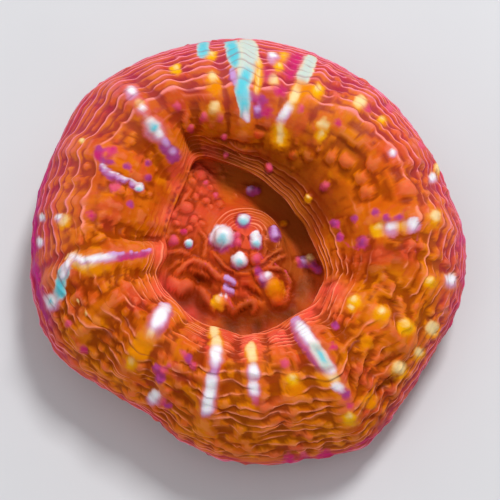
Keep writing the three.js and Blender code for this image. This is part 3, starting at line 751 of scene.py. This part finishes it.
def stretch_rows(azimuth, length, count, rows, spacing):
    """Each row's distances (n) from the stretch's start, ledge number, height, and where the painted
    highlight of its crest and the painted shade of its hollow go.
    """
    listed = [(ledge, *row) for ledge in range(count) for row in rows]
    distances = [spacing((ledge + share) / count, length, azimuth) for ledge, share, *_ in listed]
    numbers, _, heights, crests, hollows = (np.array(column) for column in zip(*listed))
    return np.array(distances), numbers[:, None], heights[:, None], crests[:, None], hollows[:, None]


def even(share, length, azimuth):
    """Ledges at even distances."""
    return share * length


def fine_at_start(share, length, azimuth):
    """Ledges close together at first, then wider to fill the length."""
    fine = np.minimum(length, around(LIP_SPACING, azimuth) * 10)
    return fine * share + (length - fine) * share ** 3


def fine_at_end(share, length, azimuth):
    """Ledges that come closer together towards the edge."""
    return length * share * (1.4 - 0.4 * share)


def mound_vigour(azimuth, distance, number):
    """How strongly the mouth's rings show: most towards the far right, and not in the middle."""
    towards_slope = 0.5 + 0.5 * np.cos(azimuth - math.radians(50))
    return (0.2 + 0.45 * towards_slope) * smoothstep(0.8, 2.4, distance)


def disc_vigour(azimuth, distance, number):
    """The faint ledges of the disc and of the flesh under the rim."""
    return np.full_like(distance, 0.15)


def inner_vigour(azimuth, distance, number):
    """How strongly the ledges between lip and crest show: fine wrinkles first, then the slope's own."""
    beyond = smoothstep(3.5, 6.0, distance)
    return around(LIP_LEDGES, azimuth) * (1 - beyond) + around(INNER_LEDGES, azimuth) * beyond


def outer_vigour(azimuth, distance, number):
    """How strongly the ledges outside the crest show. Every second one fades on some sides."""
    second = np.where(number % 2 == 1, around(SECOND_LEDGES, azimuth), 1)
    fade_in = smoothstep(0, 2.5, distance)
    return around(OUTER_LEDGES, azimuth) * second * (0.4 + 0.6 * fade_in)


class Sheet:
    """Rows of skin points that grow outwards, with what the colours need at each point."""

    def __init__(self, columns, ribs, beads, grooves):
        self.azimuth = np.linspace(0, 2 * math.pi, columns, endpoint=False)
        self.ribs = ribs
        self.beads = beads
        self.grooves = grooves
        fine = np.linspace(0, BASE_RIM, 641)
        self.fine_steps = fine
        track = along_profile(stations(self.azimuth), fine[:, None] + np.zeros(columns))
        steps = np.linalg.norm(np.diff(track, axis=0), axis=-1)
        self.lengths = np.concatenate([np.zeros((1, columns)), np.cumsum(steps, axis=0)])

    def length_at(self, step):
        return np.array([np.interp(step, self.fine_steps, column) for column in self.lengths.T])

    def step_at(self, length):
        pairs = zip(length.T, self.lengths.T)
        return np.stack([np.interp(wanted, known, self.fine_steps) for wanted, known in pairs], axis=1)

    def relief(self, step):
        """Heights in mm: all but the ledges, the beads alone, and the ribs alone."""
        points = smooth_points(self.azimuth, step)
        uneven = warped(points, *RELIEF_WOBBLE, 40)
        broad = ridge_height(RIDGES, self.azimuth, step, points)
        creases = ridge_height(CREASES, self.azimuth, step, points)
        beads = bead_height(uneven, self.beads)
        grooves = bead_height(uneven, self.grooves)
        ribs = rib_height(self.azimuth, step, points, self.ribs)
        total = np.maximum(broad, beads) + 0.35 * np.minimum(broad, beads) + ribs - creases - grooves
        return total, beads, ribs

    def shift(self, step, place, lane, bend, seed):
        """How many mm the ledges move downhill: round the relief that they cross, and at random."""
        broken = around(BROKEN_LEDGES, self.azimuth)
        wander = 0.6 * noise(place, 7.0, seed) + 0.25 * noise(place, 2.6, seed + 1)
        wander = wander + (0.25 + 0.35 * broken) * noise(lane, 3.8, seed + 4)
        wander = wander + 0.16 * broken * noise(lane, 1.1, seed + 8)
        relief, _, ribs = self.relief(step)
        kinks = RIB_KINK * around(KINKS, self.azimuth) * ribs
        return bend * (np.clip(relief, -0.6, 0.9) + kinks) + wander * min(1, abs(bend))

    def wholeness(self, lane, beads, seed):
        """How whole the ledges are: some break into lumps, and all fade where beads cover them."""
        broken = around(BROKEN_LEDGES, self.azimuth)
        breaks = broken * (1.5 * noise(lane, 3.6, seed + 2) + 0.8 * noise(lane, 1.6, seed + 5))
        whole = np.clip(1.0 - 0.25 * broken + breaks, 0.05, 1.6)
        return whole * (1 - 0.7 * np.clip(beads / 0.4, 0, 1))

    def skin(self, points, step, seed):
        """Height in mm of the skin's fine roughness, its pebbles and the bare base's ribs."""
        pebbles = around(PEBBLES, self.azimuth) * smoothstep(0.0, 0.7, noise(points, 1.5, seed + 9))
        rough = ROUGHNESS * noise(points, 0.9, seed + 3) + pebbles * smoothstep(NOSE, NOSE + 1, step)
        bare = smoothstep(BARE_STEP + 0.2, BARE_STEP + 1.2, step)
        return rough + COSTA_HEIGHT * np.cos(COSTAE * self.azimuth) * bare

    def stretch(self, begin, end, count, rows, height, spacing, bend, vigour, seed):
        """The rows between two profile steps: so many ledges of one section and height in mm.

        bend is how many mm a ledge moves downhill per mm of relief."""
        start = self.length_at(begin)
        whole_length = self.length_at(end) - start
        listed = stretch_rows(self.azimuth, whole_length, count, rows, spacing)
        distance, number, wave, crest, hollow = listed
        length = start + distance
        even_step = self.step_at(length)
        place = smooth_points(self.azimuth, even_step)
        lane = np.stack([place[..., 0], place[..., 1], number * LANE_GAP + 0 * place[..., 0]], axis=-1)
        fade_in = smoothstep(begin, begin + FADE_STEPS, even_step)
        fade_out = 1 - smoothstep(end - FADE_STEPS, end, even_step)
        length = length + fade_in * fade_out * self.shift(even_step, place, lane, bend, seed)
        least_gaps = LEAST_GAP * np.arange(len(length))[:, None]
        length = np.maximum.accumulate(length - least_gaps, axis=0) + least_gaps
        step = self.step_at(length)
        points = smooth_points(self.azimuth, step)
        relief, beads, _ = self.relief(step)
        strength = vigour(self.azimuth, distance, number) * self.wholeness(lane, beads, seed)
        lift = relief + height * strength * wave + self.skin(points, step, seed)
        return {
            "points": points + smooth_normals(self.azimuth, step) * lift[..., None],
            "step": step,
            "turn": self.azimuth + np.zeros_like(step),
            # crest and hollow say where the ledges get a painted highlight and painted shade; stand is how
            # far a point stands above its neighbours, which paints highlight on raised places and shade on
            # sunk ones.
            "crest": crest * np.clip(1.4 * strength, 0, 1),
            "hollow": np.clip(hollow * strength, 0, 1),
            "bead": np.clip(beads / 0.45, 0, 1),
            "stand": (lift - blurred(lift, 3)) / 0.18 + (lift - blurred(lift, 10)) / 0.45,
            "tone": noise(lane if bend > 0 else place, 3.0, seed + 6) + 0.5 * noise(lane, 1.2, seed + 7),
        }


def joined(parts):
    """Stretches one after another, as one."""
    return {key: np.concatenate([part[key] for part in parts]) for key in parts[0]}


def smooth_finder():
    """A finder on the smooth skin, for what is raised out of it."""
    azimuth = np.linspace(0, 2 * math.pi, 720, endpoint=False)
    step = np.linspace(0, EDGE, 360)[:, None] + np.zeros_like(azimuth)
    return SkinFinder(smooth_points(azimuth, step))


def make_skin():
    """The disc's rows, the flesh's rows and the underside's rows."""
    random = np.random.default_rng(SEED)
    finder = smooth_finder()
    ribs = make_ribs(random)
    beads = make_beads(random, finder) + make_flakes(random) + make_chains(FOLDS, finder)
    grooves = make_chains(GROOVES, finder)
    disc = Sheet(DISC_COLUMNS, ribs, beads, grooves)
    flesh = Sheet(FLESH_COLUMNS, ribs, beads, grooves)
    # Each stretch: its first and last step, its ledges, their section, height and spacing, how they
    # bend round relief, how strongly they show, and the seed of their noise.
    disc_rows = joined([
        disc.stretch(MOUTH_STEP, MOUND_STEP, 9, LOW_WAVE, 0.1, even, -0.9, mound_vigour, 11),
        disc.stretch(MOUND_STEP, WALL_STEP, 11, LOW_WAVE, 0.14, even, -0.3, disc_vigour, 12),
    ])
    flesh_rows = joined([
        flesh.stretch(WALL_STEP, NOSE, 7, PLAIN, 0, even, 0, disc_vigour, 13),
        flesh.stretch(NOSE, CREST, 11, UPHILL_LEDGE, 0.18, fine_at_start, -0.35, inner_vigour, 14),
        flesh.stretch(CREST, EDGE, 16, DOWNHILL_LEDGE, 0.26, fine_at_end, 1.0, outer_vigour, 15),
    ])
    under_rows = joined([
        disc.stretch(EDGE, BARE_STEP, 3, LOW_WAVE, 0.2, even, 0.4, disc_vigour, 16),
        disc.stretch(BARE_STEP, BASE_RIM, 9, PLAIN, 0, even, 0, disc_vigour, 17),
    ])
    return disc_rows, flesh_rows, under_rows


def band(inner, outer):
    """Faces between two rings of vertex numbers. Either ring may have twice the other's points."""
    if len(inner) == len(outer):
        return [(a, b, c, d) for a, b, c, d in zip(inner, outer, np.roll(outer, -1), np.roll(inner, -1))]
    if len(outer) == 2 * len(inner):
        few, many, flip = inner, outer, False
    else:
        few, many, flip = outer, inner, True
    faces = []
    for i, here in enumerate(few):
        after = few[(i + 1) % len(few)]
        first, middle, last = many[2 * i], many[2 * i + 1], many[(2 * i + 2) % len(many)]
        faces += [(here, first, middle), (here, middle, after), (after, middle, last)]
    return [face[::-1] for face in faces] if flip else faces


def build_mesh(name, top, sheets, bottom):
    """One closed mesh from rows that run from the top pole to the bottom pole."""
    positions, rings, count = [top], [], 1
    for sheet in sheets:
        for row in sheet["points"]:
            positions.extend(row)
            rings.append(np.arange(count, count + len(row)))
            count += len(row)
    positions.append(bottom)
    faces = [(0, a, b) for a, b in zip(rings[0], np.roll(rings[0], -1))]
    for inner, outer in zip(rings, rings[1:]):
        faces += band(inner, outer)
    faces += [(count, b, a) for a, b in zip(rings[-1], np.roll(rings[-1], -1))]
    mesh = bpy.data.meshes.new(name)
    mesh.from_pydata([tuple(p * MM) for p in positions], [], [tuple(int(v) for v in face) for face in faces])
    mesh.shade_smooth()
    mesh.update()
    return mesh


def per_point(sheets, key, top, bottom):
    """One value for each of the mesh's points, in its order."""
    return np.concatenate([[top], *[sheet[key].ravel() for sheet in sheets], [bottom]])


def paint(points, finder, strokes, wobble):
    """Paint colours (n, 3) and amounts (n) after laying strokes: pixel x and y, radius, pigment,
    amount, and the share of the radius where it begins to fade.

    A stroke is round as the photograph shows it, so it runs further down a steep side.
    wobble is how far its edge wanders, and over what length."""
    colour = np.zeros((len(points), 3))
    amount = np.zeros(len(points))
    across, down, _ = to_pixels(warped(points, *wobble, 60))
    for x, y, radius, pigment, strength, begin in strokes:
        centre = finder.at(x, y)
        reach = radius * PIXEL_SIZE
        near = np.flatnonzero(np.all(np.abs(points - centre) < 3 * reach, axis=1))
        distance = np.hypot(across[near] - x, down[near] - y) / radius
        away = np.linalg.norm(points[near] - centre, axis=1) / reach
        inside = 1 - smoothstep(begin, 1.6 - 0.6 * begin, distance)
        cover = strength * inside * (1 - smoothstep(2.0, 3.0, away))
        kept = amount[near] * (1 - cover)
        total = kept + cover
        tint = np.array(srgb(PIGMENTS[pigment])[:3])
        mixed = colour[near] * kept[:, None] + tint * cover[:, None]
        colour[near] = mixed / np.maximum(total, 1e-6)[:, None]
        amount[near] = total
    return colour, amount


def make_strokes(random):
    """Every bead's tint, stain and streak in its layers, as strokes to paint."""
    marks = [([(x, y)], radius, pigment) for x, y, radius, pigment in BEADS if pigment != "orange"]
    marks += [([(x, y)], radius * STAIN_SPREAD, pigment) for x, y, radius, pigment in STAINS]
    marks += [(pixels_along(path, 2), radius * STREAK_SPREAD, pigment) for pigment, radius, path in STREAKS]
    strokes = []
    for pixels, radius, pigment in marks:
        for layer, share, shift, amount in LAYERS[pigment]:
            crisp = layer in CRISP_PIGMENTS
            streak_share = CRISP_STREAK_SHARE if crisp else SOFT_STREAK_SHARE
            strength = amount if len(pixels) == 1 else amount * streak_share
            begin = CRISP_BEGIN if crisp else SOFT_BEGIN
            for x, y in pixels:
                size = radius * share * random.uniform(0.8, 1.1)
                strokes.append((x, y + radius * shift, size, layer, strength, begin))
    return strokes


def add_attribute(mesh, name, values, kind="FLOAT", field="value"):
    layer = mesh.attributes.new(name, kind, "POINT")
    layer.data.foreach_set(field, np.asarray(values, np.float32).ravel())


def add_paint(mesh, name, colour, amount):
    """A colour attribute, with the amount of paint as its alpha."""
    add_attribute(mesh, name, np.column_stack([colour, amount]), "FLOAT_COLOR", "color")


def make_coral():
    """The coral's mesh with its colour masks, painted highlight and painted shade among them."""
    sheets = make_skin()
    top = np.array([0, 0, MOUTH_HEIGHT])
    bottom = np.array([0.0, 0.0, 0.0])
    mesh = build_mesh("coral_polyp", top, sheets, bottom)
    flat_points = [sheet["points"].reshape(-1, 3) for sheet in sheets]
    points = np.concatenate([[top], *flat_points, [bottom]])
    finder = SkinFinder(np.concatenate(flat_points[:2]))
    step = per_point(sheets, "step", 0, BASE_RIM + 1)
    turn = per_point(sheets, "turn", 0, 0)
    for key in ("bead", "tone"):
        add_attribute(mesh, key, per_point(sheets, key, 0, 0))
    reach = around(RIM_REACH, turn)
    rim = smoothstep(EDGE - 1.5 * reach, EDGE - 0.2 * reach, step) * (1 - smoothstep(12.8, 13.8, step))
    add_attribute(mesh, "rim", rim)
    add_attribute(mesh, "disc", 1 - smoothstep(3.2, 5.0, step))
    add_attribute(mesh, "bare", smoothstep(BARE_STEP, BARE_STEP + 1.2, step))
    wash, amount = paint(points, finder, [(*wash, 0.0) for wash in WASHES_AND_SHADE], WASH_WOBBLE)
    add_paint(mesh, "washes_and_shade", wash, amount)
    # dark is where the dark washes paint shade; the painted highlights on the crests fade there.
    dark = amount * (1 - smoothstep(0.1, 0.5, wash[:, 0]))
    # crest is a painted highlight on the ledges' crests and on raised places, hollow is painted shade in the
    # ledges' hollows and in sunk places, and the ledge hollows alone also paint shade on the marks.
    stand = per_point(sheets, "stand", 0, 0)
    ledge_shade = per_point(sheets, "hollow", 0, 0)
    crest = np.maximum(per_point(sheets, "crest", 0, 0), 0.35 * smoothstep(0.3, 1.0, stand))
    add_attribute(mesh, "crest", crest * (1 - 0.85 * dark))
    add_attribute(mesh, "hollow", np.maximum(ledge_shade, 0.9 * smoothstep(0.15, 1.0, -stand)))
    add_attribute(mesh, "ledge_shade", ledge_shade)
    strokes = make_strokes(np.random.default_rng(SEED))
    add_paint(mesh, "marks", *paint(points, finder, strokes, MARK_WOBBLE))
    coral = bpy.data.objects.new("coral_polyp", mesh)
    bpy.context.scene.collection.objects.link(coral)
    return coral


# The material's colours: the flesh, its rim and beads, the bare base, and painted light: a painted highlight
# on the ledges' crests, painted shade in their hollows and painted shade on marks in them.
FLESH = {name: srgb(colour) for name, colour in {
    "amber": (0.75, 0.31, 0.03), "orange": (0.87, 0.45, 0.06), "ember": (0.80, 0.22, 0.03),
    "golden": (0.90, 0.50, 0.0), "flush": (0.82, 0.18, 0.24), "disc": (0.80, 0.24, 0.12),
    "rim": (0.82, 0.16, 0.38), "bead": (0.90, 0.33, 0.14), "crest": (1.0, 0.57, 0.43),
    "rim crest highlight": (1.0, 0.56, 0.74), "hollow": (0.48, 0.12, 0.0), "rim hollow shade": (0.66, 0.04, 0.36),
    "shaded mark": (0.62, 0.26, 0.30), "stone": (0.80, 0.76, 0.68), "dark stone": (0.62, 0.56, 0.48),
}.items()}


class Nodes:
    """Short forms for building a material's node tree."""

    def __init__(self, name):
        self.material = bpy.data.materials.new(name)
        self.material.use_nodes = True
        self.tree = self.material.node_tree
        self.shader = self.tree.nodes["Principled BSDF"]

    def add(self, kind, **settings):
        node = self.tree.nodes.new(kind)
        for key, value in settings.items():
            setattr(node, key, value)
        return node

    def feed(self, socket, value):
        """Gives an input a value, or links it when value is a socket."""
        if isinstance(value, bpy.types.NodeSocket):
            self.tree.links.new(value, socket)
        else:
            socket.default_value = value

    def mask(self, name):
        return self.add("ShaderNodeAttribute", attribute_name=name).outputs["Fac"]

    def mix(self, share, first, second):
        """Colour mix. share, first and second are sockets or values."""
        node = self.add("ShaderNodeMix", data_type="RGBA")
        for number, value in ((0, share), (6, first), (7, second)):
            self.feed(node.inputs[number], value)
        return node.outputs[2]

    def tint(self, base, mask, amount, colour):
        """Base with a share of a colour, where the mask is."""
        return self.mix(self.maths("MULTIPLY", mask, amount), base, colour)

    def maths(self, operation, first, second):
        node = self.add("ShaderNodeMath", operation=operation)
        self.feed(node.inputs[0], first)
        self.feed(node.inputs[1], second)
        return node.outputs[0]

    def noise(self, scale, detail=3.0):
        """Noise in object space. scale is in features per metre."""
        place = self.add("ShaderNodeTexCoord").outputs["Object"]
        node = self.add("ShaderNodeTexNoise")
        node.inputs["Scale"].default_value = scale
        node.inputs["Detail"].default_value = detail
        self.feed(node.inputs["Vector"], place)
        return node.outputs["Fac"]

    def ramp(self, source, low, high):
        """0 to 1 as source goes from low to high."""
        node = self.add("ShaderNodeMapRange", interpolation_type="SMOOTHSTEP")
        self.feed(node.inputs["Value"], source)
        node.inputs["From Min"].default_value = low
        node.inputs["From Max"].default_value = high
        return node.outputs["Result"]


def flesh_material():
    """Orange flesh in uneven tones, then rim, broad tints, some of them painted shade, beads, a painted
    highlight on the ledges' crests and painted shade in their hollows, and marks over it, and the bare base.
    """
    nodes = Nodes("coral_flesh")
    rim, tone = nodes.mask("rim"), nodes.mask("tone")
    patches = nodes.ramp(nodes.noise(120), 0.35, 0.65)
    base = nodes.mix(patches, FLESH["amber"], FLESH["orange"])
    base = nodes.tint(base, nodes.ramp(nodes.noise(260), 0.5, 0.7), 0.35, FLESH["ember"])
    base = nodes.tint(base, nodes.ramp(tone, -0.1, -0.6), 0.7, FLESH["golden"])
    flush = nodes.maths("MULTIPLY", nodes.ramp(tone, 0.15, 0.6), nodes.ramp(nodes.noise(150), 0.4, 0.6))
    base = nodes.tint(base, flush, 0.4, FLESH["flush"])
    base = nodes.tint(base, nodes.mask("disc"), 0.6, FLESH["disc"])
    base = nodes.tint(base, rim, 0.45, FLESH["rim"])
    # Broad tints over the flesh; the brown, umber and olive ones are painted shade.
    washes_and_shade = nodes.add("ShaderNodeAttribute", attribute_name="washes_and_shade")
    base = nodes.mix(washes_and_shade.outputs["Alpha"], base, washes_and_shade.outputs["Color"])
    beads = nodes.maths("MULTIPLY", nodes.mask("bead"), nodes.ramp(nodes.noise(300), 0.46, 0.6))
    base = nodes.tint(base, beads, 0.45, FLESH["bead"])
    # Painted highlight along the ledges' crests and on raised places, pinker at the rim.
    line = nodes.mix(rim, FLESH["crest"], FLESH["rim crest highlight"])
    base = nodes.tint(base, nodes.ramp(nodes.mask("crest"), 0.1, 1.0), 0.95, line)
    # Painted shade in the ledges' hollows and in sunk places, magenta at the rim.
    depth = nodes.mix(rim, FLESH["hollow"], FLESH["rim hollow shade"])
    base = nodes.tint(base, nodes.mask("hollow"), 0.75, depth)
    marks = nodes.add("ShaderNodeAttribute", attribute_name="marks")
    uneven = nodes.maths("MULTIPLY", nodes.maths("SUBTRACT", nodes.noise(900), 0.5), 0.9)
    cover = nodes.ramp(nodes.maths("ADD", marks.outputs["Alpha"], uneven), 0.1, 0.7)
    cover = nodes.maths("MULTIPLY", cover, nodes.ramp(marks.outputs["Alpha"], 0.02, 0.3))
    # Marks get painted shade where they lie in a ledge's hollow.
    shaded = nodes.tint(marks.outputs["Color"], nodes.mask("ledge_shade"), 0.5, FLESH["shaded mark"])
    base = nodes.mix(cover, base, shaded)
    stone = nodes.mix(nodes.ramp(nodes.noise(500, 5.0), 0.35, 0.7), FLESH["stone"], FLESH["dark stone"])
    base = nodes.mix(nodes.mask("bare"), base, stone)
    nodes.feed(nodes.shader.inputs["Base Color"], base)
    bump = nodes.add("ShaderNodeBump")
    bump.inputs["Strength"].default_value = 0.4
    bump.inputs["Distance"].default_value = 0.0002
    nodes.feed(bump.inputs["Height"], nodes.noise(1600, 3.0))
    nodes.feed(nodes.shader.inputs["Normal"], bump.outputs["Normal"])
    nodes.shader.inputs["Roughness"].default_value = 0.35
    nodes.shader.inputs["Specular IOR Level"].default_value = 0.03
    nodes.shader.inputs["Subsurface Weight"].default_value = 0.1
    nodes.shader.inputs["Subsurface Radius"].default_value = (1.0, 0.3, 0.1)
    nodes.shader.inputs["Subsurface Scale"].default_value = 0.001
    return nodes.material


def floor_material():
    nodes = Nodes("pale_floor")
    colour = nodes.mix(nodes.noise(30), srgb((0.81, 0.81, 0.82)), srgb((0.84, 0.84, 0.85)))
    nodes.feed(nodes.shader.inputs["Base Color"], colour)
    nodes.shader.inputs["Roughness"].default_value = 0.9
    return nodes.material


def make_floor():
    mesh = bpy.data.meshes.new("floor")
    half = 1.5
    corners = [(-half, -half, 0), (half, -half, 0), (half, half, 0), (-half, half, 0)]
    mesh.from_pydata(corners, [], [(0, 1, 2, 3)])
    floor = bpy.data.objects.new("floor", mesh)
    floor.data.materials.append(floor_material())
    bpy.context.scene.collection.objects.link(floor)
    return floor


def make_light(name, azimuth, elevation, distance, size, power):
    """A soft square light aimed at the coral. Angles are in degrees, lengths in metres."""
    a, e = math.radians(azimuth), math.radians(elevation)
    direction = Vector((math.cos(a) * math.cos(e), math.sin(a) * math.cos(e), math.sin(e)))
    lamp = bpy.data.lights.new(name, "AREA")
    lamp.energy = power
    lamp.size = size
    light = bpy.data.objects.new(name, lamp)
    light.location = direction * distance
    light.rotation_euler = direction.to_track_quat("Z", "Y").to_euler()
    bpy.context.scene.collection.objects.link(light)


def make_lights():
    make_light("key", 60, 60, 0.6, 0.14, 2.5)
    make_light("fill", 225, 45, 0.9, 0.8, 1.35)
    world = bpy.data.worlds.new("studio")
    world.use_nodes = True
    world.node_tree.nodes["Background"].inputs["Color"].default_value = (0.95, 0.97, 1.0, 1.0)
    world.node_tree.nodes["Background"].inputs["Strength"].default_value = 0.45
    bpy.context.scene.world = world


def make_camera():
    data = bpy.data.cameras.new("camera")
    data.sensor_width = SENSOR_WIDTH
    data.lens = SENSOR_WIDTH * CAMERA_DISTANCE / PIXEL_SIZE / FRAME_PIXELS
    data.clip_start = 0.01
    camera = bpy.data.objects.new("camera", data)
    back = Vector((0, -math.cos(CAMERA_ELEVATION), math.sin(CAMERA_ELEVATION)))
    camera.location = (Vector(CAMERA_TARGET) + back * CAMERA_DISTANCE) * MM
    camera.rotation_euler = back.to_track_quat("Z", "Y").to_euler()
    bpy.context.scene.collection.objects.link(camera)
    bpy.context.scene.camera = camera


make_camera()
make_lights()
make_floor()
bpy.context.scene.view_settings.view_transform = "Standard"

coral = make_coral()
coral.data.materials.append(flesh_material())
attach(coral, "root")
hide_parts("coral")
